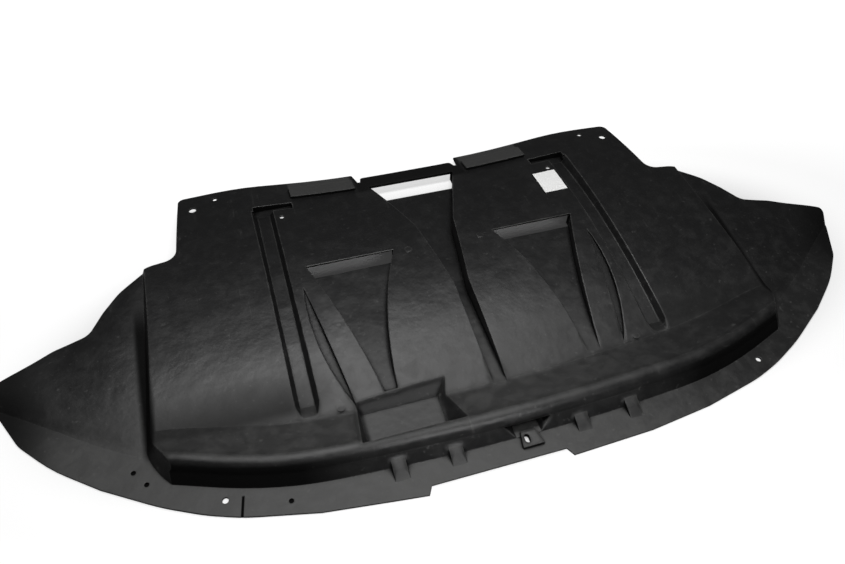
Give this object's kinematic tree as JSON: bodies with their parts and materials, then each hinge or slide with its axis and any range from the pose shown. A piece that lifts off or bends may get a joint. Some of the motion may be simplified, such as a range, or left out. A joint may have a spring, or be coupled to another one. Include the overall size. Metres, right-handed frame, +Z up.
{
  "type": "engine splash shield",
  "caption": "Wide moulded tray that closes the underside of an engine bay, with a bowed front lip, wheel-arch wings, air scoops and fixing holes.",
  "frame": {"origin": "on the floor plane, under the middle of the plan outline", "axes": "+X to the right seen from the front lip, +Y from the lip to the rear edge, +Z up with the road side on top"},
  "size_m": [1.4922, 0.6809, 0.054],
  "materials": {
    "black_plastic": "semi-matte moulded",
    "paper": "matt paper"
  },
  "bodies": {
    "root": {"shield": "black_plastic", "paper_label": "paper"}
  },
  "joints": []
}
